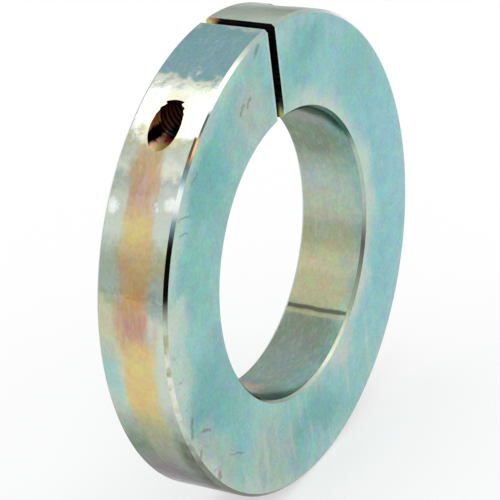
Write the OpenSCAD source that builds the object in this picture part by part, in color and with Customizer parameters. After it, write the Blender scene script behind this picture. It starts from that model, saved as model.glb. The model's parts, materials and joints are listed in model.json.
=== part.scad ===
// One-piece clamping shaft collar: a slit ring, pulled closed by one socket head cap screw.
//
// The shaft runs along Y through the origin, which is the middle of the bore.
// The slit is at the top, +Z. The screw lies along X and crosses the slit: its head sits in a
// counterbore on the +X side, and its thread ends in a tapped hole that runs out on the -X side.
// All dimensions are in millimetres.

/* [Ring] */
// Outside diameter of the ring
ring_od = 80; // [79:0.5:84]
// Bore diameter, the same as the shaft's
bore_d = 48; // [40:1:50]
// Width of the ring along the shaft
ring_w = 12.5; // [12:0.5:20]
// Leg of the 45 degree chamfer on both outer edges
outer_chamfer = 0.5; // [0.1:0.1:1]
// Leg of the 45 degree chamfer at both ends of the bore
bore_chamfer = 0.5; // [0.1:0.1:1]
// Width of the slit that lets the ring close
slit_w = 2.2; // [1:0.1:4]

/* [Screw holes] */
// Distance of the screw's axis from the shaft's axis
screw_z = 32.6; // [32:0.1:33]
// Clearance hole between the slit and the head's seat
clearance_d = 6.6; // [6.4:0.1:7]
// Counterbore around the screw's head
counterbore_d = 10.6; // [10.4:0.1:11]
// Smooth wall of the tapped hole, at the crests of its M6 thread
tapped_d = 5; // [5:0.05:5.1]
// Depth of the head's outer corner below the rim of the ring
head_sink = 0.6; // [0.2:0.1:1]

/* [Clamp screw] */
// Length of the M6 screw under its head
screw_l = 20; // [16:1:20]
// Core of the screw's thread, a running fit in the tapped hole
thread_core_d = 4.9; // [4.8:0.02:4.96]
// Diameter of the head
head_d = 10; // [9.4:0.1:10.2]
// Height of the head
head_h = 6; // [5.5:0.1:6]
// Width across the flats of the hexagon socket
socket_af = 5; // [4:1:5]
// Depth of the socket's flat walls
socket_depth = 3; // [2:0.1:3.2]
// Leg of the chamfer around the top of the head
head_chamfer = 0.6; // [0.2:0.1:0.8]
// Leg of the chamfer at the screw's tip
tip_chamfer = 0.6; // [0.2:0.1:1]

/* [Hidden] */
$fn = 96;

ring_r = ring_od / 2;
bore_r = bore_d / 2;
half_w = ring_w / 2;
head_r = head_d / 2;
core_r = thread_core_d / 2;
// X where the rim of the ring passes the head's outermost corner
rim_x = sqrt(pow(ring_r, 2) - pow(screw_z + head_r, 2));
// X of the seat under the head
seat_x = rim_x - head_sink - head_h;
// Distance from the centre of the hexagon socket to its corners
socket_r = socket_af / 2 / cos(30);
// The socket's bottom is the cone of a 120 degree drill, a little inside the flats
drill_r = 0.48 * socket_af;
drill_h = drill_r * tan(30);
// Overlap that keeps cut faces from coinciding
eps = 0.01;

// Puts a solid drawn along Z onto the screw's axis, starting at x and running towards +X.
module on_screw_axis(x) {
  translate([x, 0, screw_z])
    rotate([0, 90, 0])
      children();
}

// Half section of the ring: radius across, shaft axis up.
module ring_section() {
  polygon([
    [bore_r + bore_chamfer, -half_w],
    [ring_r - outer_chamfer, -half_w],
    [ring_r, -half_w + outer_chamfer],
    [ring_r, half_w - outer_chamfer],
    [ring_r - outer_chamfer, half_w],
    [bore_r + bore_chamfer, half_w],
    [bore_r, half_w - bore_chamfer],
    [bore_r, -half_w + bore_chamfer]
  ]);
}

// Slit through one side of the ring, from the bore to the rim.
module slit() {
  translate([-slit_w / 2, -ring_w, 0])
    cube([slit_w, 2 * ring_w, ring_od]);
}

// Counterbore, clearance hole and tapped hole, all on the screw's axis.
module screw_holes() {
  on_screw_axis(seat_x)
    cylinder(h = ring_od, d = counterbore_d);
  on_screw_axis(0)
    cylinder(h = seat_x + eps, d = clearance_d);
  on_screw_axis(-ring_od)
    cylinder(h = ring_od, d = tapped_d);
}

module clamp_ring() {
  color("#8cb8b6")
    difference() {
      rotate([90, 0, 0])
        rotate_extrude($fn = 192)
          ring_section();
      slit();
      screw_holes();
    }
}

// Head standing on z = 0, with its socket open at the top.
module screw_head() {
  difference() {
    union() {
      cylinder(h = head_h - head_chamfer, r = head_r);
      translate([0, 0, head_h - head_chamfer])
        cylinder(h = head_chamfer, r1 = head_r, r2 = head_r - head_chamfer);
    }
    translate([0, 0, head_h - socket_depth])
      cylinder(h = socket_depth + eps, r = socket_r, $fn = 6);
    translate([0, 0, head_h - socket_depth - drill_h])
      cylinder(h = drill_h + eps, r1 = 0, r2 = drill_r * (1 + eps / drill_h));
  }
}

// Threaded shank, drawn at its thread's core, from the tip up to the head.
module screw_shank() {
  cylinder(h = tip_chamfer, r1 = core_r - tip_chamfer, r2 = core_r);
  translate([0, 0, tip_chamfer])
    cylinder(h = screw_l - tip_chamfer + eps, r = core_r);
}

module clamp_screw() {
  color("#34343a") {
    on_screw_axis(seat_x)
      screw_head();
    on_screw_axis(seat_x - screw_l)
      screw_shank();
  }
}

clamp_ring();
clamp_screw();
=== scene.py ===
"""Looks of a one-piece clamping shaft collar.

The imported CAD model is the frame: the shaft runs along Y, the slit is at +Z and the clamp screw
lies along X. This script adds the rounded edges and the M6 thread to the ring and the screw,
gives every surface its plating, and sets up the floor, the studio light and the camera.
Shapes are in metres and radians, and the materials' places in millimetres and degrees.
"""

import functools
import json
import math

import bmesh
import bpy
from mathutils import Matrix, Vector


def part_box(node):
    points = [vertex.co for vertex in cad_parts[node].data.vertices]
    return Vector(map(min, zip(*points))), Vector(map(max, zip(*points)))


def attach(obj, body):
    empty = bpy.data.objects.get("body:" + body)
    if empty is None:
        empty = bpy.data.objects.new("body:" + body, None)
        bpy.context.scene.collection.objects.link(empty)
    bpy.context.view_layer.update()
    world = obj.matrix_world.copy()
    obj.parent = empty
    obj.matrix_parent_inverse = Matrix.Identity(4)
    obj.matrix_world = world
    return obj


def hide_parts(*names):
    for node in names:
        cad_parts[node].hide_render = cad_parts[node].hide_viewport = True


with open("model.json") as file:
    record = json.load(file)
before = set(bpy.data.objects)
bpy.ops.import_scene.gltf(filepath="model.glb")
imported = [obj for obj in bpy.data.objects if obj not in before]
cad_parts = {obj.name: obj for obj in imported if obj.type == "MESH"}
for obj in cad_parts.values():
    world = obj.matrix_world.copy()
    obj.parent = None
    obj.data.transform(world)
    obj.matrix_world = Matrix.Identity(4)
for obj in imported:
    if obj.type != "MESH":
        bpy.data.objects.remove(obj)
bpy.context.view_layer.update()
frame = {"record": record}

MM = 0.001
TAU = 2 * math.pi


# ---------------------------------------------------------------- sizes, from the frame

def mount(name):
    """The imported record's mount with this name."""
    return next(m for m in frame["record"]["mounts"] if m["name"] == name)


ring_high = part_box("clamp_ring")[1]
screw_low, screw_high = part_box("clamp_screw")

# The ring, with its edges rounded a little
RING_R = ring_high.x
HALF_W = ring_high.y
BORE_R = mount("shaft_bore")["dims"]["r_mm"] * MM
BORE_CHAMFER = HALF_W - mount("shaft_bore")["dims"]["length_mm"] * MM / 2
OUTER_CHAMFER = 0.5 * MM
SLIT_HALF = 1.1 * MM
EDGE_ROUND = 0.12 * MM
SLIT_EDGE_ROUND = 0.05 * MM

# The clamp screw and the holes on its axis
SCREW_Z = (screw_low.z + screw_high.z) / 2
TIP_X = screw_low.x
HEAD_TOP_X = screw_high.x
HEAD_R = screw_high.y
HEAD_H = 6 * MM
SEAT_X = HEAD_TOP_X - HEAD_H
COUNTERBORE_R = 5.3 * MM
CLEARANCE_R = 3.3 * MM

# The M6 thread. Its start, in turns, is the same for the hole and the screw, so they mesh.
PITCH = 1 * MM
THREAD_START = 0.4
THREAD_R = 3 * MM
CREST_HALF = PITCH / 16
FLANK_SLOPE = math.tan(math.radians(30))

# The tapped hole: from TAP_LEAD_X outwards its thread fades to a plain mouth
TAPPED_CREST_R = 2.5 * MM
TAP_LEAD_X = -17.5 * MM
TAP_LEAD = 4.5 * MM
TAP_MOUTH_R = 2.6 * MM

# The screw's thread, a little slacker than the hole's, with its tip, run-out and fillet
SCREW_ROOT_R = 2.39 * MM
THREAD_SLACK = 0.05 * MM
FLANK_SLACK = 0.03 * MM
TIP_CHAMFER = 0.7 * MM
RUNOUT_X = SEAT_X - 2 * MM
FILLET_R = 0.25 * MM

# The screw's head and its hexagon socket
KNURL_TEETH = 36
KNURL_DEPTH = 0.12 * MM
HEAD_LOW_EDGE = 0.3 * MM
HEAD_CHAMFER = 0.6 * MM
SOCKET_FLAT = 2.5 * MM
SOCKET_DEPTH = 3 * MM
SOCKET_MOUTH = 0.25 * MM
SOCKET_DRILL_R = 0.96 * SOCKET_FLAT

# The scored line across the bore, in degrees from +X towards +Z
SCORE_TURN = -52.5

# Points round each shape, and the angles in degrees above which its edges stay sharp
RING_STEPS = 720
HOLE_STEPS = 128
THREAD_STEPS = 96
SCREW_STEPS = 144
ROWS_PER_PITCH = 12
EDGE_STEPS = 3
FILLET_STEPS = 4
RING_SHARP_ANGLE = 28
SCREW_SHARP_ANGLE = 24


# ---------------------------------------------------------------- mesh helpers

def new_object(name, verts, faces, materials, face_slots=None):
    """A mesh object from point and face lists, with its normals made consistent."""
    mesh = bpy.data.meshes.new(name)
    mesh.from_pydata(verts, [], faces)
    for material in materials:
        mesh.materials.append(material)
    if face_slots:
        mesh.polygons.foreach_set("material_index", face_slots)
    bm = bmesh.new()
    bm.from_mesh(mesh)
    bmesh.ops.recalc_face_normals(bm, faces=bm.faces)
    bm.to_mesh(mesh)
    bm.free()
    obj = bpy.data.objects.new(name, mesh)
    bpy.context.scene.collection.objects.link(obj)
    return obj


def loop_faces(first, second, count):
    """Quads between two closed loops of points that start at these indices."""
    faces = []
    for i in range(count):
        j = (i + 1) % count
        faces.append((first + i, first + j, second + j, second + i))
    return faces


def loft(name, loops, materials, slots, start=None, end=None):
    """A closed solid through a list of equal point loops.

    slots holds the material slot of the band after each loop. start and end are the points that
    close the two ends as fans; without them the end loops are filled as flat faces.
    """
    count = len(loops[0])
    verts = [point for loop in loops for point in loop]
    faces, face_slots = [], []
    for k in range(len(loops) - 1):
        band = loop_faces(k * count, (k + 1) * count, count)
        faces += band
        face_slots += slots(k) if callable(slots) else [slots] * count
    for centre, base, band in ((start, 0, 0), (end, (len(loops) - 1) * count, len(loops) - 2)):
        slot = slots(band)[0] if callable(slots) else slots
        if centre is None:
            faces.append(tuple(base + i for i in range(count)))
            face_slots.append(slot)
            continue
        verts.append(centre)
        for i in range(count):
            faces.append((base + i, base + (i + 1) % count, len(verts) - 1))
            face_slots.append(slot)
    return new_object(name, verts, faces, materials, face_slots)


def shade_smooth_by_angle(obj, limit):
    """Smooth shading with hard edges where faces meet at more than the limit, in degrees."""
    mesh = obj.data
    mesh.polygons.foreach_set("use_smooth", [True] * len(mesh.polygons))
    mesh.set_sharp_from_angle(angle=math.radians(limit))


def subtract(target, cutters):
    """Cuts solids out of the target's mesh for good, and removes the cutters."""
    for cutter in cutters:
        cut = target.modifiers.new("cut", "BOOLEAN")
        cut.operation = "DIFFERENCE"
        cut.solver = "EXACT"
        cut.material_mode = "TRANSFER"
        cut.object = cutter
    graph = bpy.context.evaluated_depsgraph_get()
    result = bpy.data.meshes.new_from_object(target.evaluated_get(graph))
    target.modifiers.clear()
    target.data = result
    for cutter in cutters:
        bpy.data.objects.remove(cutter)


# ---------------------------------------------------------------- ring

def corner_arc(before, corner, after, radius, steps):
    """Points of an arc that rounds a polygon's corner."""
    to_before = (before - corner).normalized()
    to_after = (after - corner).normalized()
    half = to_before.angle(to_after) / 2
    reach = radius / math.tan(half)
    centre = corner + (to_before + to_after).normalized() * radius / math.sin(half)
    start = corner + to_before * reach - centre
    stop = corner + to_after * reach - centre
    points = []
    for k in range(steps + 1):
        points.append(centre + start.slerp(stop, k / steps) * radius)
    return points


def ring_profile(inset):
    """The ring's half section as (radius, y) points, shrunk by inset, and each span's surface."""
    inner, outer, half = BORE_R + inset, RING_R - inset, HALF_W - inset
    corners = [
        (inner + BORE_CHAMFER, -half), (outer - OUTER_CHAMFER, -half),
        (outer, -half + OUTER_CHAMFER), (outer, half - OUTER_CHAMFER),
        (outer - OUTER_CHAMFER, half), (inner + BORE_CHAMFER, half),
        (inner, half - BORE_CHAMFER), (inner, -half + BORE_CHAMFER),
    ]
    surfaces = ["face", "chamfer", "rim", "chamfer", "face", "chamfer", "bore", "chamfer"]
    corners = [Vector(c) for c in corners]
    points, kinds = [], []
    for k, corner in enumerate(corners):
        after = corners[(k + 1) % len(corners)]
        arc = corner_arc(corners[k - 1], corner, after, EDGE_ROUND, EDGE_STEPS)
        points += arc
        kinds += ["chamfer"] * (len(arc) - 1) + [surfaces[k]]
    return points, kinds


def ring_section(inset, x_edge, share):
    """One loop of the ring: share runs from 0 at the slit's -X face to 1 at its +X face."""
    loop = []
    for radius, y in ring_profile(inset)[0]:
        gap = math.asin(x_edge / radius)
        turn = gap + share * (TAU - 2 * gap)
        loop.append(Vector((-radius * math.sin(turn), y, radius * math.cos(turn))))
    return loop


def build_ring(materials):
    """The slit ring, with its screw holes and thread cut."""
    kinds = ring_profile(0)[1]
    order = ["face", "rim", "bore", "chamfer", "slit"]
    band = [order.index(kind) for kind in kinds]
    loops = [ring_section(SLIT_EDGE_ROUND, SLIT_HALF, 0)]
    for k in range(RING_STEPS + 1):
        loops.append(ring_section(0, SLIT_HALF + SLIT_EDGE_ROUND, k / RING_STEPS))
    loops.append(ring_section(SLIT_EDGE_ROUND, SLIT_HALF, 1))
    slit_band = [order.index("slit")] * len(kinds)
    last = len(loops) - 2

    def slots(k):
        return slit_band if k in (0, last) else band

    ring = loft("clamp_ring_body", loops, [materials[kind] for kind in order], slots)
    subtract(ring, [head_cutter(materials["counterbore"]), thread_cutter(materials["tapped"])])
    shade_smooth_by_angle(ring, RING_SHARP_ANGLE)
    return ring


def screw_point(x, radius, angle):
    """The point at a radius and an angle, in radians, around the screw's axis."""
    return Vector((x, radius * math.cos(angle), SCREW_Z + radius * math.sin(angle)))


def circle_loop(x, radius, steps):
    """A loop of points around the screw's axis at x."""
    return [screw_point(x, radius, TAU * i / steps) for i in range(steps)]


def head_cutter(material):
    """Counterbore and clearance hole."""
    stations = [(0, CLEARANCE_R), (SEAT_X, CLEARANCE_R),
                (SEAT_X, COUNTERBORE_R), (RING_R, COUNTERBORE_R)]
    loops = [circle_loop(x, radius, HOLE_STEPS) for x, radius in stations]
    return loft("head_cutter", loops, [material], 0)


def tapped_radius(x, radius):
    """The thread's crest or root radius at x: the tap's lead leaves the last threads shallow."""
    fade = min(1, max(0, (TAP_LEAD_X - x) / TAP_LEAD))
    return radius + (TAP_MOUTH_R - radius) * fade


def thread_cutter(material):
    """The tapped hole's thread: a helical strip of four lines a turn, closed at both ends."""
    steps = THREAD_STEPS
    mouth_half = CREST_HALF + (THREAD_R - TAPPED_CREST_R) * FLANK_SLOPE
    lines = [(-mouth_half, TAPPED_CREST_R), (-CREST_HALF, THREAD_R),
             (CREST_HALF, THREAD_R), (mouth_half, TAPPED_CREST_R)]
    exit_x = -math.sqrt(RING_R ** 2 - (SCREW_Z - THREAD_R) ** 2)
    first_turn, end_turn = math.floor(exit_x / PITCH) - 1, 0
    rows = []
    for turn in range(first_turn, end_turn):
        for offset, radius in lines:
            row = []
            for i in range(steps):
                x = (turn + i / steps + THREAD_START) * PITCH + offset
                row.append(screw_point(x, tapped_radius(x, radius), TAU * i / steps))
            rows.append(row)
    faces = []
    for base in range(0, (len(rows) - 1) * steps, steps):
        for i in range(base, base + steps - 1):
            faces.append((i, i + 1, i + steps + 1, i + steps))
    # each turn's end meets the next turn's start along a seam
    per_turn = len(lines) * steps
    for end in range(steps - 1, (len(rows) - len(lines) - 1) * steps, steps):
        start = end + 1 - steps + per_turn
        faces.append((end, start, start + steps, end + steps))
    # both ends close as fans around a point on the axis
    low = list(range(steps)) + [k * steps for k in range(len(lines), 0, -1)]
    top_row = (len(rows) - 1) * steps
    high = list(range(top_row, top_row + steps))
    high += [top_row + steps - 1 - k * steps for k in range(1, len(lines) + 1)]
    verts = [point for row in rows for point in row]
    for rim, turn in ((low, first_turn), (high, end_turn)):
        verts.append(Vector(((turn + THREAD_START) * PITCH, 0, SCREW_Z)))
        for a, b in zip(rim, rim[1:] + rim[:1]):
            faces.append((a, b, len(verts) - 1))
    return new_object("thread_cutter", verts, faces, [material])


# ---------------------------------------------------------------- screw

def thread_radius(x, angle):
    """Radius of the screw's right-hand thread at x, before its ends are shaped."""
    phase = (x / PITCH - angle / TAU - THREAD_START) % 1
    off_ridge = min(phase, 1 - phase) * PITCH
    flank = THREAD_R - (off_ridge + FLANK_SLACK - CREST_HALF) / FLANK_SLOPE
    return max(SCREW_ROOT_R, min(THREAD_R - THREAD_SLACK, flank))


def shank_radius(x, angle):
    """The thread with its chamfered tip and its run-out under the head."""
    thread = thread_radius(x, angle)
    tip = THREAD_R - TIP_CHAMFER + (x - TIP_X)
    fade = min(1, max(0, (x - RUNOUT_X) / PITCH))
    plain = THREAD_R - THREAD_SLACK
    return min(tip, thread + (plain - thread) * fade)


def knurl_radius(angle):
    """Radius of the head's side, with its straight knurl."""
    wave = 0.5 + 0.5 * math.cos(KNURL_TEETH * angle)
    return HEAD_R - KNURL_DEPTH * wave


def socket_radius(angle):
    """Distance from the axis to the wall of the hexagon socket."""
    return SOCKET_FLAT / math.cos((angle + math.pi / 6) % (math.pi / 3) - math.pi / 6)


def build_screw(material):
    """The socket head cap screw as one closed solid, from its tip to the bottom of its socket."""
    angles = [TAU * i / SCREW_STEPS for i in range(SCREW_STEPS)]

    def loop(x, radius):
        return [screw_point(x, radius(a) if callable(radius) else radius, a) for a in angles]

    loops = []
    rows = round((SEAT_X - FILLET_R - TIP_X) / PITCH * ROWS_PER_PITCH)
    for k in range(rows + 1):
        x = TIP_X + (SEAT_X - FILLET_R - TIP_X) * k / rows
        loops.append(loop(x, lambda a: shank_radius(x, a)))
    plain = THREAD_R - THREAD_SLACK
    quarter = [math.pi / 2 * k / FILLET_STEPS for k in range(FILLET_STEPS + 1)]
    for turn in quarter[1:]:
        x = SEAT_X - FILLET_R + FILLET_R * math.sin(turn)
        loops.append(loop(x, plain + FILLET_R * (1 - math.cos(turn))))
    core_r = HEAD_R - KNURL_DEPTH
    loops.append(loop(SEAT_X, core_r - HEAD_LOW_EDGE))
    loops.append(loop(SEAT_X + HEAD_LOW_EDGE / 2, core_r - HEAD_LOW_EDGE / 4))
    loops.append(loop(SEAT_X + HEAD_LOW_EDGE, knurl_radius))
    loops.append(loop(HEAD_TOP_X - HEAD_CHAMFER - KNURL_DEPTH, knurl_radius))
    for turn in quarter:
        x = HEAD_TOP_X - HEAD_CHAMFER * (1 - math.sin(turn))
        loops.append(loop(x, core_r - HEAD_CHAMFER * (1 - math.cos(turn))))
    loops.append(loop(HEAD_TOP_X, SOCKET_FLAT / math.cos(math.pi / 6) + SOCKET_MOUTH))
    loops.append(loop(HEAD_TOP_X - SOCKET_MOUTH, socket_radius))
    floor_x = HEAD_TOP_X - SOCKET_DEPTH
    loops.append(loop(floor_x, socket_radius))
    loops.append(loop(floor_x, SOCKET_DRILL_R))
    tip = Vector((TIP_X, 0, SCREW_Z))
    cone = Vector((floor_x - SOCKET_DRILL_R * math.tan(math.radians(30)), 0, SCREW_Z))
    screw = loft("clamp_screw_threaded", loops, [material], 0, start=tip, end=cone)
    shade_smooth_by_angle(screw, SCREW_SHARP_ANGLE)
    return screw


# ---------------------------------------------------------------- node graphs

def srgb(code):
    """A linear colour from an sRGB hex code."""
    values = [int(code[i:i + 2], 16) / 255 for i in (1, 3, 5)]
    linear = [v / 12.92 if v <= 0.04045 else ((v + 0.055) / 1.055) ** 2.4 for v in values]
    return (*linear, 1.0)


# Octaves of each noise, the solid share of a patch, and a nick's bow per millimetre of length
NOISE_DETAIL = 4.0
PATCH_CORE = 0.3
NICK_BOW = 0.04


class Graph:
    """Builds a node tree with short calls."""

    def __init__(self, tree):
        self.nodes = tree.nodes
        self.links = tree.links
        self.nodes.clear()

    def put(self, kind, inputs=None, **settings):
        """A new node with these settings, its inputs set to values or linked to sockets."""
        node = self.nodes.new(kind)
        for key, value in settings.items():
            setattr(node, key, value)
        for key, value in (inputs or {}).items():
            if isinstance(value, bpy.types.NodeSocket):
                self.links.new(value, node.inputs[key])
            else:
                node.inputs[key].default_value = value
        return node

    def math(self, operation, a, b=0.0):
        """A math node's result; the second value is left out of one-sided operations."""
        return self.put("ShaderNodeMath", {0: a, 1: b}, operation=operation).outputs[0]

    def vector(self, operation, a, b=(0, 0, 0)):
        """A vector math node's outputs."""
        return self.put("ShaderNodeVectorMath", {0: a, 1: b}, operation=operation).outputs

    def chain(self, operation, values):
        """One operation over all the values in turn."""
        return functools.reduce(lambda a, b: self.math(operation, a, b), values)

    def product(self, *values):
        return self.chain("MULTIPLY", values)

    def total(self, *values):
        return self.chain("ADD", values)

    def largest(self, values):
        return self.chain("MAXIMUM", values)

    def absolute(self, value):
        return self.math("ABSOLUTE", value)

    def square(self, value):
        return self.math("POWER", value, 2)

    def distance(self, a, b):
        """Length of the flat vector (a, b)."""
        return self.math("SQRT", self.total(self.square(a), self.square(b)))

    def between(self, value, low, high, to_low=0.0, to_high=1.0):
        """Remaps value smoothly from low..high, and holds it beyond both."""
        node = self.put("ShaderNodeMapRange", {"Value": value, "From Min": low, "From Max": high,
                                               "To Min": to_low, "To Max": to_high},
                        interpolation_type="SMOOTHSTEP")
        return node.outputs["Result"]

    def window(self, value, low, full, fading, gone):
        """1 between full and fading, going smoothly to 0 at low and at gone."""
        return self.product(self.between(value, low, full), self.between(value, gone, fading))

    def mix(self, share, a, b, blend="MIX"):
        """Colour a going over to b as share goes from 0 to 1; each is a film's name or a socket."""
        a, b = (srgb(FILM[c]) if isinstance(c, str) else c for c in (a, b))
        node = self.put("ShaderNodeMix", {0: share, 6: a, 7: b}, data_type="RGBA", blend_type=blend)
        return node.outputs[2]

    def ramp(self, value, stops):
        """Film colours along value; stops holds (value, film) in order."""
        low, high = stops[0][0], stops[-1][0]
        share = self.put("ShaderNodeMapRange", {"Value": value, "From Min": low, "From Max": high})
        node = self.put("ShaderNodeValToRGB", {"Fac": share.outputs["Result"]})
        elements = node.color_ramp.elements
        while len(elements) < len(stops):
            elements.new(1.0)
        for element, (at, film) in zip(elements, stops):
            element.position = (at - low) / (high - low)
            element.color = srgb(FILM[film])
        return node.outputs["Color"]


class Paint(Graph):
    """One material's graph, with the surface's place in millimetres at hand."""

    def __init__(self, name):
        self.material = bpy.data.materials.new(name)
        self.material.use_nodes = True
        super().__init__(self.material.node_tree)
        place = self.put("ShaderNodeTexCoord").outputs["Object"]
        self.mm = self.vector("DIVIDE", place, (MM, MM, MM))[0]
        self.x, self.y, self.z = self.put("ShaderNodeSeparateXYZ", {0: self.mm}).outputs
        # degrees round the ring: from the slit towards the tapped hole, and from +X towards +Z
        self.turn = self.angle(self.math("MULTIPLY", self.x, -1.0), self.z)
        self.bore_turn = self.angle(self.z, self.x)
        self.radius = self.distance(self.x, self.z)

    def angle(self, opposite, adjacent):
        """Angle in degrees from two coordinates, -180 to 180."""
        return self.product(self.math("ARCTAN2", opposite, adjacent), 360 / TAU)

    def in_front(self):
        """1 on the half of the ring towards -Y, 0 on the other."""
        return self.math("LESS_THAN", self.y, 0.0)

    def noise(self, scale, seed, stretch=(1, 1, 1), output="Fac"):
        """Noise with about this many cells a millimetre, 0.5 on average."""
        place = self.vector("MULTIPLY", self.mm, stretch)[0]
        node = self.put("ShaderNodeTexNoise", {"Vector": place, "W": seed, "Scale": scale,
                                               "Detail": NOISE_DETAIL}, noise_dimensions="4D")
        return node.outputs[output]

    def wobble(self, scale, seed, reach, stretch=(1, 1, 1)):
        """Noise as a signed shift of up to about this reach."""
        return self.between(self.noise(scale, seed, stretch), 0.25, 0.75, -reach, reach)

    def patch(self, x, z, reach, shift):
        """1 at the middle of a soft patch on a face, 0 beyond its reach; shift moves its edge."""
        away = self.distance(self.total(self.x, -x), self.total(self.z, -z))
        return self.between(self.total(away, shift), reach, reach * PATCH_CORE)

    def scratch(self, x, z, slope, length, width, fray):
        """1 along a short nick in a flat face, 0 beside it; fray shifts its edges."""
        lean = math.radians(slope)
        dx = self.total(self.x, -x)
        dz = self.total(self.z, -z)
        along = self.total(self.product(dx, math.cos(lean)), self.product(dz, math.sin(lean)))
        across = self.total(self.product(dz, math.cos(lean)), self.product(dx, -math.sin(lean)))
        bow = self.product(self.square(along), NICK_BOW)
        beside = self.absolute(self.total(across, bow, fray))
        along = self.absolute(self.total(along, self.product(fray, 2.0)))
        inside = self.between(along, length / 2, length / 4)
        return self.product(self.between(beside, width, 0.0), inside)

    def mottle(self, color, amount):
        """Breaks a colour up with the film's fine blue, green and pink cells."""
        coarse = self.noise(0.4, 11.0, output="Color")
        fine = self.noise(1.8, 12.0, output="Color")
        color = self.mix(amount, color, coarse, "OVERLAY")
        return self.mix(amount * 1.2, color, fine, "OVERLAY")

    def finish(self, color, roughness, height, depth, edge_tint=(1, 1, 1, 1)):
        """Connects a metal surface; height 0..1 is a bump of this depth in metres."""
        bump = self.put("ShaderNodeBump", {"Height": height, "Distance": depth})
        surface = self.put("ShaderNodeBsdfPrincipled", {"Base Color": color, "Metallic": 1.0,
                                                        "Specular Tint": edge_tint,
                                                        "Roughness": roughness,
                                                        "Normal": bump.outputs["Normal"]})
        self.put("ShaderNodeOutputMaterial", {"Surface": surface.outputs[0]})
        return self.material


# ---------------------------------------------------------------- materials

# Colours of the zinc plating's passivation film, and of the bare and blackened steel; some of them
# also stand in for painted highlights and painted shade, as noted where they are used
FILM = {
    "teal": "#80b8b4",
    "deep_teal": "#6fadab",
    "aqua": "#93c4c0",
    "sky": "#87bec6",
    "sage": "#a9bab0",
    "verdigris": "#8da09a",
    "slate": "#84adb2",
    "pewter": "#9fa6a1",
    "silver": "#c4cfc2",
    "pearl": "#dfe3d2",
    "cream": "#e6dcb4",
    # white of the painted highlights and glints on the rim and the outer chamfers
    "highlight_white": "#f2f6f2",
    "moss": "#82917f",
    "olive": "#a9ad8c",
    "straw": "#bfbe98",
    "gold": "#d6be80",
    "brass": "#bda67c",
    "amber": "#c09c64",
    "rose": "#bb9184",
    "blush": "#c6a896",
    "orchid": "#a98490",
    "tan": "#b98f70",
    "peach": "#f0b48c",
    "pink": "#e6beb6",
    "copper": "#ffb060",
    "pine": "#35655c",
    "lime": "#c8d08c",
    "citron": "#f0ee96",
    "apricot": "#ffc8a4",
    "crimson": "#e05044",
    "deep_pine": "#1e3a36",
    "mauve": "#837c86",
    "umber": "#68655a",
    "moss_shade": "#56564a",
    "ember": "#6b3a30",
    # painted shade: the near-black of the slit, the inside of the tapped hole and one chamfer stretch
    "painted_dark": "#0e0b0a",
    "gunmetal": "#34363c",
    "oxide": "#1c1c1f",
    "worn_oxide": "#323338",
    "bare_steel": "#8b8a86",
}

# Tint of the turned surfaces' reflection at a grazing angle
TURNED_TINT = (0.55, 0.58, 0.56, 1.0)

# Stretch of noise on the turned surfaces, whose streaks run round the ring
STREAKY_RIM = (0.25, 1.0, 0.25)
STREAKY_BORE = (0.3, 1.0, 0.3)

# Patches of other film on the faces: x, z and reach in millimetres, film
FACE_PATCHES = [
    (-10.0, 27.5, 9.0, "sage"),
    (-24.0, 26.0, 10.0, "deep_teal"),
    (-29.0, 12.0, 11.0, "teal"),
    (-39.0, 6.0, 7.0, "silver"),
    (-37.5, -4.0, 6.0, "silver"),
    (-27.0, -8.0, 13.0, "deep_teal"),
    (-33.0, -22.0, 9.0, "sage"),
    (-15.0, -31.0, 11.0, "sage"),
    (0.0, -29.0, 9.0, "deep_teal"),
    (18.0, -30.0, 11.0, "aqua"),
    (9.0, 32.0, 10.0, "deep_teal"),
    (24.0, 22.0, 12.0, "teal"),
]

# Nicks in the front face: x, z, slope in degrees, length and half width in millimetres
FACE_NICKS = [
    (-11.1, 30.7, 40.0, 3.0, 0.52),
    (-9.0, 31.0, 40.0, 2.6, 0.46),
    (-5.0, 38.1, 40.0, 2.8, 0.90),
    (-30.6, 21.8, -12.0, 4.0, 0.34),
    (-31.2, 19.4, -12.0, 3.6, 0.28),
    (-26.6, 26.2, 30.0, 3.2, 0.26),
    (-36.3, -11.8, 77.0, 4.8, 0.70),
    (-32.5, -14.3, -27.0, 3.8, 0.36),
    (-35.2, -17.8, 60.0, 3.4, 0.60),
    (-30.8, -24.5, 75.0, 4.6, 0.75),
    (-25.0, -23.0, -27.0, 6.0, 0.22),
]

# Film on the rim, by degrees from the slit towards the tapped hole: over its whole width,
# over the back part of the width on the hole's side, and along the golden middle. In the
# edges and the middle, slate from 3 to 21 is a painted dark reflection, pearl and white from
# 24 to 36 a painted highlight under the softbox's real one, and from about 110 to 142 the
# film darkens as painted shade reflected from the floor under the ring
RIM_EDGES = [
    (-180, "pewter"), (-110, "sage"), (-40, "silver"), (-15, "sage"), (-9, "silver"),
    (1, "silver"), (3, "slate"), (21, "slate"), (24, "pearl"), (28, "highlight_white"), (36, "highlight_white"),
    (39, "straw"), (43, "silver"), (45.5, "pearl"), (48, "sage"), (51, "silver"),
    (60, "silver"), (64, "olive"), (68, "olive"), (71, "sage"), (74, "verdigris"),
    (79, "silver"), (98, "silver"), (114, "moss"), (122, "pewter"), (132, "mauve"),
    (142, "umber"), (180, "pewter"),
]
RIM_BACK = [
    (54, "silver"), (60, "silver"), (64, "sage"), (71, "sage"), (73.5, "olive"),
    (76, "straw"), (83, "straw"), (87, "sage"), (90, "aqua"), (98, "aqua"),
]
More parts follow.
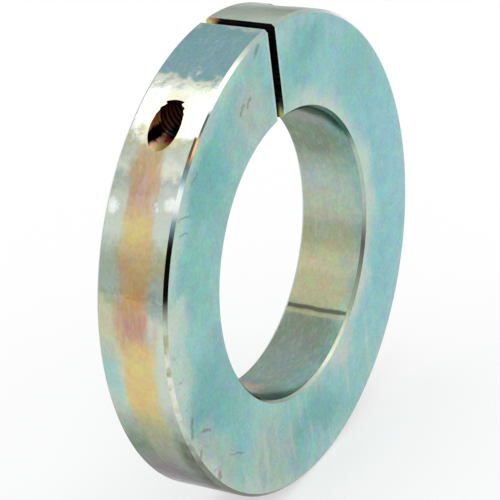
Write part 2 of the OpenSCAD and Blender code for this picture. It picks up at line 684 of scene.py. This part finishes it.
RIM_MIDDLE = [
    (-180, "pewter"), (-110, "straw"), (-40, "sage"), (-15, "sage"), (-9, "silver"),
    (1, "silver"), (3, "slate"), (21, "slate"), (24, "pearl"), (36, "pearl"), (39, "straw"),
    (43, "brass"), (46, "blush"), (52, "blush"), (58, "gold"), (66, "brass"), (74, "amber"),
    (81, "rose"), (87, "gold"), (98, "gold"), (109, "olive"), (121, "pewter"),
    (131, "mauve"), (142, "umber"), (180, "pewter"),
]

# Painted glints on the rim: degrees from the slit, y and half length in millimetres
RIM_GLINTS = [(54.5, 5.0, 1.3), (53.5, -2.7, 0.8), (52.5, -5.2, 1.3)]

# Film round the bore, by degrees from +X towards +Z
BORE_TURN = [
    (-180, "sage"), (-104, "verdigris"), (-84, "verdigris"), (-58, "moss"), (-50, "straw"),
    (-36, "straw"), (-24, "olive"), (4, "sage"), (20, "moss"), (32, "moss"), (42, "pewter"),
    (62, "moss"), (180, "sage"),
]

# Film on the front and back outer chamfers, by degrees from the slit towards the tapped hole. On the
# front one, the white stretches are painted highlights and the dark ones, black from 62 to 73,
# painted dark reflections
OUTER_CHAMFER_TURN = [
    (-180, "sage"), (-150, "aqua"), (-60, "aqua"), (-40, "highlight_white"), (-15, "sage"), (6, "sage"),
    (13, "silver"), (19, "highlight_white"), (29, "highlight_white"), (31, "moss_shade"), (36, "moss_shade"),
    (37.5, "peach"), (41, "peach"), (43, "umber"), (47, "slate"), (49.5, "highlight_white"),
    (53, "highlight_white"), (56, "slate"), (60, "gunmetal"), (62, "painted_dark"), (73, "painted_dark"),
    (76, "moss"), (79, "silver"), (83, "olive"), (87, "pearl"), (100, "pearl"),
    (105, "silver"), (111, "sage"), (118, "moss"), (150, "umber"), (180, "sage"),
]
BACK_CHAMFER_TURN = [
    (-180, "sage"), (-10, "pewter"), (2, "slate"), (16, "pine"), (27, "pine"),
    (33, "pewter"), (52, "silver"), (66, "pewter"), (90, "sage"), (180, "sage"),
]

# Film on the bore's front chamfer, by degrees from +X towards +Z; its pine stretch from 32 to 75 is
# painted shade
BORE_CHAMFER_TURN = [
    (-180, "sage"), (-130, "moss"), (-100, "sage"), (-78, "silver"), (-52, "olive"),
    (-36, "moss"), (-22, "umber"), (-6, "sage"), (20, "sage"), (32, "pine"), (75, "pine"),
    (92, "silver"), (180, "sage"),
]

# Radii in millimetres between which an outer chamfer goes over to its half beside the rim
CHAMFER_RIM_HALF = (39.68, 39.8)

# Film in the slit, by height over the bore's axis and by distance towards the back, and in
# the mouth of the tapped hole, by distance outwards from MOUTH_X, where the line leans as y
# grows; all in millimetres. Their darkest stops are painted shade, and their bright film
# stops are made bright as painted light where the walls catch the light
MOUTH_X = -22.0
MOUTH_LEAN = 0.67
SLIT_LOW = [(24.5, "lime"), (26.4, "umber"), (28.5, "painted_dark")]
SLIT_BACK = [(3.4, "ember"), (4.6, "tan"), (5.3, "amber"), (6.0, "lime")]
HOLE_MOUTH = [
    (-1.6, "painted_dark"), (-1.0, "deep_pine"), (-0.4, "deep_pine"), (-0.2, "crimson"),
    (0.9, "crimson"), (1.4, "apricot"), (2.0, "citron"), (3.0, "citron"),
]


def face_plating():
    """Flat faces: teal film in soft patches over a faced surface, with nicks in the front."""
    paint = Paint("zinc_face")
    shift = paint.wobble(0.12, 3.0, 4.0)
    color = face_film(paint, shift)
    nicks = face_nicks(paint, shift)
    color = paint.mix(paint.product(nicks, 0.6), color, "umber")
    rings = paint.put("ShaderNodeTexNoise", {"W": paint.radius, "Scale": 3.0, "Detail": NOISE_DETAIL},
                      noise_dimensions="1D").outputs["Fac"]
    height = paint.total(paint.product(rings, 0.4), paint.product(paint.noise(2.5, 5.0), 0.6),
                         paint.product(nicks, -2.0))
    rough = paint.between(paint.noise(0.3, 9.0), 0.3, 0.7, 0.24, 0.38)
    return paint.finish(paint.mottle(color, 0.28), rough, height, 0.006 * MM)


def face_film(paint, shift):
    """The faces' film: teal to sky with patches, silver by the edges and in runs low down."""
    cloud = paint.between(paint.noise(0.06, 1.0), 0.35, 0.65)
    color = paint.mix(cloud, "teal", "aqua")
    to_head_side = paint.between(paint.total(paint.x, shift), -5.0, 38.0, 0.0, 0.8)
    color = paint.mix(to_head_side, color, "sky")
    for x, z, reach, film in FACE_PATCHES:
        share = paint.patch(x, z, reach, shift)
        color = paint.mix(paint.product(share, 0.8), color, film)
    by_bore = paint.between(paint.total(paint.radius, paint.product(shift, 0.7)), 30.5, 25.0)
    by_bore = paint.product(by_bore, paint.between(paint.x, -6.0, 14.0, 0.15, 1.0), 0.8)
    color = paint.mix(by_bore, color, "silver")
    by_rim = paint.between(paint.total(paint.radius, paint.product(shift, 0.3)), 36.0, 39.8)
    by_rim = paint.product(by_rim, paint.between(paint.x, 10.0, -20.0, 0.15, 0.6))
    color = paint.mix(by_rim, color, "silver")
    by_slit = paint.product(paint.between(paint.absolute(paint.x), 1.9, 1.2),
                            paint.math("GREATER_THAN", paint.z, 0.0), 0.6)
    color = paint.mix(by_slit, color, "silver")
    runs = paint.between(paint.noise(0.6, 16.0, (1.0, 1.0, 0.12)), 0.52, 0.68)
    runs = paint.product(runs, paint.between(paint.z, -16.0, -28.0), 0.45)
    return paint.mix(runs, color, "silver")


def face_nicks(paint, shift):
    """1 in the front face's nicks and in the small scuffs low by the rim, 0 elsewhere."""
    fray = paint.wobble(1.4, 17.0, 0.22)
    nicks = paint.largest([paint.scratch(*nick, fray) for nick in FACE_NICKS])
    scuffs = paint.between(paint.noise(0.9, 14.0, (1.0, 1.0, 2.2)), 0.62, 0.70)
    low_down = paint.between(paint.total(paint.x, paint.z), -5.0, -45.0, 0.1, 1.0)
    at_rim = paint.between(paint.total(paint.radius, shift), 29.0, 38.0)
    nicks = paint.math("MAXIMUM", nicks, paint.product(scuffs, low_down, at_rim, 0.7))
    return paint.product(nicks, paint.in_front())


def rim_plating():
    """Outer rim: slate by the slit as a painted dark reflection, then a painted highlight, pale
    further round with painted shade low down, and a golden band along the middle.
    """
    paint = Paint("zinc_rim")
    turn = paint.total(paint.turn, paint.wobble(0.3, 4.0, 2.0), paint.wobble(0.9, 18.0, 1.2))
    # ragged lobes at the edges of the painted highlight and of the slate beside it
    highlight_lobes = paint.product(paint.wobble(0.3, 23.0, 3.0), paint.window(paint.turn, 12, 18, 38, 46))
    turn = paint.total(turn, highlight_lobes)
    color = rim_film(paint, turn)
    color = rim_marks(paint, turn, color)
    streaks = paint.noise(2.0, 6.0, STREAKY_RIM)
    color = paint.mix(paint.between(streaks, 0.45, 0.7, 0.0, 0.2), color, "silver")
    height = paint.total(paint.product(streaks, 0.6), paint.product(paint.noise(2.2, 2.0), 0.4),
                         paint.product(paint.noise(0.28, 9.0), 32.0))
    rough = paint.between(paint.noise(0.5, 8.0), 0.3, 0.7, 0.08, 0.18)
    return paint.finish(paint.mottle(color, 0.2), rough, height, 0.004 * MM, TURNED_TINT)


def rim_film(paint, turn):
    """The rim's film, with its painted highlight and painted shade, along its edges, its back part
    and its golden middle.
    """
    edges = paint.ramp(turn, RIM_EDGES)
    at_back = paint.between(paint.total(paint.y, paint.wobble(0.3, 7.0, 1.0)), 2.0, 4.0)
    at_back = paint.product(at_back, paint.window(paint.turn, 48, 60, 92, 104), 0.8)
    edges = paint.mix(at_back, edges, paint.ramp(turn, RIM_BACK))
    # the band leans towards the back and narrows as it comes up to the hole
    lean = paint.between(paint.turn, 64.0, 50.0, 0.5, -0.4)
    off_middle = paint.total(paint.absolute(paint.total(paint.y, lean)),
                             paint.wobble(0.4, 5.0, 1.2, STREAKY_RIM),
                             paint.between(paint.turn, 51.0, 43.0, 0.0, 0.9))
    color = paint.mix(paint.between(off_middle, 4.0, 1.6), edges, paint.ramp(turn, RIM_MIDDLE))
    side_bands = paint.product(paint.window(off_middle, 1.0, 1.6, 2.4, 3.2),
                               paint.window(turn, 39, 42, 50, 57), 0.45)
    return paint.mix(side_bands, color, "amber")


def rim_marks(paint, turn, color):
    """The rim's painted shade low down in front, its pink stretch low at the back, the cream ring
    round the hole and the painted glints.
    """
    # painted shade along the front of the rim, low down
    low_front_shading = paint.between(paint.total(paint.y, paint.wobble(0.4, 15.0, 1.0)), -2.5, -5.0)
    low_front_shading = paint.product(low_front_shading, paint.window(paint.turn, 102, 114, 140, 160), 0.6)
    color = paint.mix(low_front_shading, color, "moss_shade")
    low_back = paint.between(paint.total(paint.y, paint.wobble(0.4, 16.0, 1.5)), -2.0, 1.5)
    low_back = paint.product(low_back, paint.window(turn, 117, 124, 132, 142), 0.6)
    color = paint.mix(low_back, color, "orchid")
    off_axis = paint.distance(paint.y, paint.total(paint.z, -SCREW_Z / MM))
    by_hole = paint.between(paint.total(off_axis, paint.wobble(0.8, 19.0, 0.6)), 4.0, 2.6)
    by_hole = paint.product(by_hole, paint.math("LESS_THAN", paint.turn, 40.0), 0.5)
    color = paint.mix(by_hole, color, "cream")
    ragged = paint.wobble(1.2, 13.0, 0.7)
    # painted glints
    for turn_at, y, reach in RIM_GLINTS:
        across = paint.product(paint.total(paint.turn, -turn_at), RING_R / MM * TAU / 360)
        along = paint.total(paint.y, -y)
        away = paint.total(paint.square(across), paint.square(along), ragged)
        color = paint.mix(paint.between(away, reach ** 2 * 1.4, -0.4), color, "highlight_white")
    return color


def bore_plating():
    """Bore wall: moss, straw and sage film over a bored surface, with painted shade along its front
    edge up top, a painted pink highlight low at the back, and one scored line across.
    """
    paint = Paint("zinc_bore")
    turn = paint.total(paint.bore_turn, paint.wobble(0.25, 4.0, 3.0))
    color = paint.ramp(turn, BORE_TURN)
    to_front = paint.between(paint.total(paint.y, paint.wobble(0.3, 5.0, 1.5)), -1.5, -6.0)
    color = paint.mix(paint.product(to_front, 0.6), color, "teal")
    # painted shade: dark pine along the bore's front edge, high on the +X side
    shade = paint.product(paint.between(paint.bore_turn, 26.0, 42.0),
                          paint.between(paint.y, -3.6, -5.4))
    color = paint.mix(shade, color, "pine")
    # painted pink highlight low in the bore, towards the back
    at_back = paint.product(paint.between(paint.absolute(paint.total(turn, 106.0)), 9.0, 0.0),
                            paint.between(paint.y, -1.5, 2.5), 0.8)
    color = paint.mix(at_back, color, "pink")
    streaks = paint.noise(2.0, 6.0, STREAKY_BORE)
    color = paint.mix(paint.between(streaks, 0.45, 0.7, 0.0, 0.2), color, "silver")
    off_score = paint.total(paint.bore_turn, paint.wobble(0.5, 7.0, 0.3), -SCORE_TURN)
    score = paint.between(paint.absolute(off_score), 1.3, 0.5)
    burr = paint.between(paint.absolute(paint.total(off_score, 2.4)), 1.2, 0.3)
    color = paint.mix(paint.product(score, 0.85), color, "moss_shade")
    color = paint.mix(paint.product(burr, 0.5), color, "straw")
    height = paint.total(paint.product(streaks, 0.6), paint.product(paint.noise(2.2, 2.0), 0.4),
                         paint.product(score, -3.0), burr)
    rough = paint.between(paint.noise(0.5, 8.0), 0.3, 0.7, 0.12, 0.22)
    return paint.finish(paint.mottle(color, 0.22), rough, height, 0.005 * MM, TURNED_TINT)


def chamfer_plating():
    """Chamfers and rounded edges: film with painted highlights and dark reflections on the ring's
    hole side, and a painted black reflection in one stretch.
    """
    paint = Paint("zinc_chamfer")
    front = paint.in_front()
    outer = paint.mix(front, paint.ramp(paint.turn, BACK_CHAMFER_TURN),
                      paint.ramp(paint.turn, OUTER_CHAMFER_TURN))
    rim_half = paint.product(paint.between(paint.radius, *CHAMFER_RIM_HALF), front)
    # painted highlight on the front chamfer's half beside the rim, next to the rim's highlight
    lit_edge = paint.product(rim_half, paint.window(paint.turn, 26.0, 29.0, 36.5, 37.5))
    outer = paint.mix(lit_edge, outer, "highlight_white")
    # painted shade on the same half just past it
    dark_edge = paint.product(rim_half, paint.window(paint.turn, 36.5, 37.5, 41.0, 44.0))
    outer = paint.mix(dark_edge, outer, "moss_shade")
    inner = paint.mix(front, "sage", paint.ramp(paint.bore_turn, BORE_CHAMFER_TURN))
    color = paint.mix(paint.between(paint.radius, 31.0, 32.0), inner, outer)
    specks = paint.product(paint.between(paint.noise(0.6, 3.0), 0.4, 0.85), front,
                           paint.window(paint.turn, 72, 80, 112, 128), 0.8)
    color = paint.mix(specks, color, "umber")
    rough = paint.between(paint.noise(0.8, 8.0), 0.3, 0.7, 0.14, 0.26)
    return paint.finish(paint.mottle(color, 0.2), rough, paint.noise(2.5, 1.0), 0.006 * MM)


def sawn_plating():
    """Slit walls: near-black painted shade over saw marks, with painted light in bright film at the
    bore and at the back.
    """
    paint = Paint("zinc_sawn")
    saw = paint.noise(1.5, 1.0, (1, 0.15, 4.0))
    # painted shade: near-black walls in the narrow slit, lighter along the saw's marks
    color = paint.mix(paint.between(saw, 0.35, 0.65), "painted_dark", "gunmetal")
    down = paint.total(paint.z, paint.wobble(0.8, 2.0, 1.0))
    # painted light low at the front, where the slit opens into the bore, going over to painted shade
    # above
    low_front_shading = paint.product(paint.between(down, 28.5, 25.4), paint.between(paint.y, -5.0, -5.6))
    color = paint.mix(low_front_shading, color, paint.ramp(down, SLIT_LOW))
    # painted light in bright film towards the slit's back opening
    back = paint.total(paint.y, paint.wobble(0.8, 3.0, 0.8))
    color = paint.mix(paint.between(back, 3.4, 4.6), color, paint.ramp(back, SLIT_BACK))
    return paint.finish(color, paint.between(saw, 0.3, 0.7, 0.35, 0.55), saw, 0.02 * MM)


def tapped_plating():
    """Tapped hole: painted shade inside, with red, apricot and citron film low in its mouth made
    bright as painted light, and a painted copper reflection.
    """
    paint = Paint("zinc_tapped")
    across = paint.total(paint.y, paint.wobble(0.9, 3.0, 0.3))
    above = paint.total(paint.z, paint.wobble(0.9, 6.0, 0.3), -SCREW_Z / MM)
    outward = paint.total(paint.product(paint.y, MOUTH_LEAN), MOUTH_X, paint.product(paint.x, -1.0),
                          paint.wobble(1.0, 2.0, 0.5))
    # the mouth's film, bright as painted light on the lower wall, with painted shade deeper in
    at_back = paint.product(paint.between(across, 0.5, 1.1), paint.between(outward, 0.2, 0.7))
    film = paint.mix(at_back, paint.ramp(outward, HOLE_MOUTH), "apricot")
    low = paint.product(paint.between(above, -0.8, -1.3), paint.between(across, 1.7, 1.3))
    # a painted copper reflection on the side wall, a little way in
    copper_reflection = paint.product(paint.window(above, -1.0, -0.3, 0.8, 1.4),
                          paint.between(across, 1.0, 1.6), paint.between(paint.x, -19.8, -20.8))
    # painted shade inside the hole
    color = paint.mix(paint.between(paint.x, -22.6, -20.5, 0.0, 0.3), "painted_dark", "ember")
    color = paint.mix(low, color, film)
    color = paint.mix(copper_reflection, color, "copper")
    rough = paint.between(copper_reflection, 0.0, 1.0, 0.35, 0.55)
    return paint.finish(color, rough, paint.noise(2.0, 4.0), 0.01 * MM)


def counterbore_plating():
    """Counterbore and clearance hole: drilled rings under the same film."""
    paint = Paint("zinc_counterbore")
    rings = paint.noise(1.2, 1.0, (4.0, 0.3, 0.3))
    color = paint.mix(paint.between(rings, 0.35, 0.65), "moss", "sage")
    return paint.finish(paint.mottle(color, 0.2), 0.3, rings, 0.01 * MM)


def black_oxide():
    """The screw: black oxide, worn to bare steel on its sharp edges."""
    paint = Paint("black_oxide")
    edge = paint.put("ShaderNodeNewGeometry").outputs["Pointiness"]
    grain = paint.noise(2.0, 3.0)
    worn = paint.product(paint.between(edge, 0.52, 0.6), paint.between(grain, 0.4, 0.6, 0.2, 0.8))
    color = paint.mix(paint.between(paint.noise(0.4, 6.0), 0.3, 0.7), "oxide", "worn_oxide")
    color = paint.mix(worn, color, "bare_steel")
    return paint.finish(color, paint.between(grain, 0.3, 0.7, 0.28, 0.45), grain, 0.008 * MM)


# ---------------------------------------------------------------- stage

# The camera: its place in degrees, metres and millimetres of lens, and its aim off the bore
CAMERA_AZIMUTH = -57.12
CAMERA_ELEVATION = 27.16
CAMERA_ROLL = 7.15
CAMERA_DISTANCE = 371.5 * MM
CAMERA_LENS = 163.0
AIM_RIGHT = -2.24 * MM
AIM_UP = -0.10 * MM
CLIP_NEAR = 0.01
CLIP_FAR = 50

# The overhead softbox and the card under it: corners in x and y, height and brightness
SOFTBOX_LOW = (-38 * MM, 12 * MM)
SOFTBOX_HIGH = (-4 * MM, 56 * MM)
SOFTBOX_HEIGHT = 90 * MM
SOFTBOX_RADIANCE = 0.4
REFLECTOR_LOW = (-60 * MM, 23 * MM)
REFLECTOR_HIGH = (45 * MM, 75 * MM)
REFLECTOR_HEIGHT = 55 * MM
REFLECTOR_BRIGHTNESS = 0.85

# The floor: half its side in metres, its grey, and its own glow
FLOOR_REACH = 6.0
FLOOR_GREY = 0.5
FLOOR_GLOW = 0.5

# Cards that the metal mirrors: direction, half angle and softness in degrees, brightness
STUDIO_CARDS = [
    ((0.50, 0.48, 0.72), 20.0, 10.0, 0.88),
    ((0.25, -0.73, 0.63), 14.0, 8.0, 1.5),
]

# Brightness of the studio walls near the floor, and the heights where it starts and ends rising
LOW_WALL = 0.80
WALL_RISE = (0.08, 0.45)


def add_camera():
    """A long lens at the reference viewing angle, aimed just beside the bore's centre."""
    azimuth, elevation = math.radians(CAMERA_AZIMUTH), math.radians(CAMERA_ELEVATION)
    back = Vector((math.sin(azimuth) * math.cos(elevation),
                   -math.cos(azimuth) * math.cos(elevation), math.sin(elevation)))
    level = Vector((0, 0, 1)).cross(back).normalized()
    upright = back.cross(level)
    roll = math.radians(CAMERA_ROLL)
    right = level * math.cos(roll) - upright * math.sin(roll)
    up = upright * math.cos(roll) + level * math.sin(roll)
    place = back * CAMERA_DISTANCE + right * AIM_RIGHT + up * AIM_UP
    data = bpy.data.cameras.new("camera")
    data.lens = CAMERA_LENS
    data.clip_start = CLIP_NEAR
    data.clip_end = CLIP_FAR
    camera = bpy.data.objects.new("camera", data)
    camera.matrix_world = Matrix((
        (right.x, up.x, back.x, place.x),
        (right.y, up.y, back.y, place.y),
        (right.z, up.z, back.z, place.z),
        (0, 0, 0, 1)))
    bpy.context.scene.collection.objects.link(camera)
    bpy.context.scene.camera = camera


def add_softbox():
    """A level rectangular light that faces down. In the metal it adds to the wall behind it."""
    data = bpy.data.lights.new("overhead_softbox", "AREA")
    data.shape = "RECTANGLE"
    data.size = SOFTBOX_HIGH[0] - SOFTBOX_LOW[0]
    data.size_y = SOFTBOX_HIGH[1] - SOFTBOX_LOW[1]
    data.energy = SOFTBOX_RADIANCE * math.pi * data.size * data.size_y
    light = bpy.data.objects.new("overhead_softbox", data)
    light.location = ((SOFTBOX_LOW[0] + SOFTBOX_HIGH[0]) / 2,
                      (SOFTBOX_LOW[1] + SOFTBOX_HIGH[1]) / 2, SOFTBOX_HEIGHT)
    light.visible_camera = False
    bpy.context.scene.collection.objects.link(light)


def level_rectangle(low, high, height):
    """Four corners of a level rectangle, from its lowest and highest x and y."""
    return [(low[0], low[1], height), (high[0], low[1], height),
            (high[0], high[1], height), (low[0], high[1], height)]


def add_reflector():
    """A level card seen only in reflections, which keeps the softbox out of the bore's wall."""
    verts = level_rectangle(REFLECTOR_LOW, REFLECTOR_HIGH, REFLECTOR_HEIGHT)
    card = new_object("reflector_card", verts, [(0, 1, 2, 3)], [])
    card.visible_camera = False
    card.visible_shadow = False
    card.visible_diffuse = False
    material = bpy.data.materials.new("reflector_card")
    material.use_nodes = True
    graph = Graph(material.node_tree)
    glow = graph.put("ShaderNodeEmission", {"Strength": REFLECTOR_BRIGHTNESS})
    graph.put("ShaderNodeOutputMaterial", {"Surface": glow.outputs[0]})
    card.data.materials.append(material)


def add_floor():
    """A plain pale floor under the ring, lit a little from within to soften its shadow."""
    mesh = bpy.data.meshes.new("floor")
    verts = level_rectangle((-FLOOR_REACH, -FLOOR_REACH), (FLOOR_REACH, FLOOR_REACH), -RING_R)
    mesh.from_pydata(verts, [], [(0, 1, 2, 3)])
    floor = bpy.data.objects.new("floor", mesh)
    bpy.context.scene.collection.objects.link(floor)
    material = bpy.data.materials.new("pale_floor")
    material.use_nodes = True
    surface = material.node_tree.nodes["Principled BSDF"]
    surface.inputs["Base Color"].default_value = (FLOOR_GREY, FLOOR_GREY, FLOOR_GREY, 1)
    surface.inputs["Roughness"].default_value = 0.9
    surface.inputs["Specular IOR Level"].default_value = 0.0
    surface.inputs["Emission Color"].default_value = (1, 1, 1, 1)
    surface.inputs["Emission Strength"].default_value = FLOOR_GLOW
    mesh.materials.append(material)


def add_world():
    """White studio walls, greyer near the floor, with cards that only reflections show."""
    world = bpy.data.worlds.new("studio")
    bpy.context.scene.world = world
    world.use_nodes = True
    graph = Graph(world.node_tree)
    direction = graph.put("ShaderNodeTexCoord").outputs["Generated"]
    up = graph.put("ShaderNodeSeparateXYZ", {0: direction}).outputs[2]
    grey = graph.between(up, *WALL_RISE, LOW_WALL, 1.0)
    for toward, half, soft, shade in STUDIO_CARDS:
        cosine = graph.vector("DOT_PRODUCT", direction, Vector(toward).normalized())["Value"]
        inner = math.cos(math.radians(half))
        outer = math.cos(math.radians(half + soft))
        grey = graph.product(grey, graph.between(cosine, outer, inner, 1.0, shade))
    seen = graph.put("ShaderNodeLightPath").outputs["Is Camera Ray"]
    strength = graph.math("MAXIMUM", grey, seen)
    background = graph.put("ShaderNodeBackground", {"Color": (1, 1, 1, 1), "Strength": strength})
    graph.put("ShaderNodeOutputWorld", {"Surface": background.outputs[0]})


# ---------------------------------------------------------------- assembly

ring = build_ring({
    "face": face_plating(),
    "rim": rim_plating(),
    "bore": bore_plating(),
    "chamfer": chamfer_plating(),
    "slit": sawn_plating(),
    "counterbore": counterbore_plating(),
    "tapped": tapped_plating(),
})
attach(ring, "ring")
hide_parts("clamp_ring")
screw = build_screw(black_oxide())
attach(screw, "screw")
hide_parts("clamp_screw")

add_floor()
add_world()
add_softbox()
add_reflector()
add_camera()
bpy.context.scene.view_settings.view_transform = "Standard"
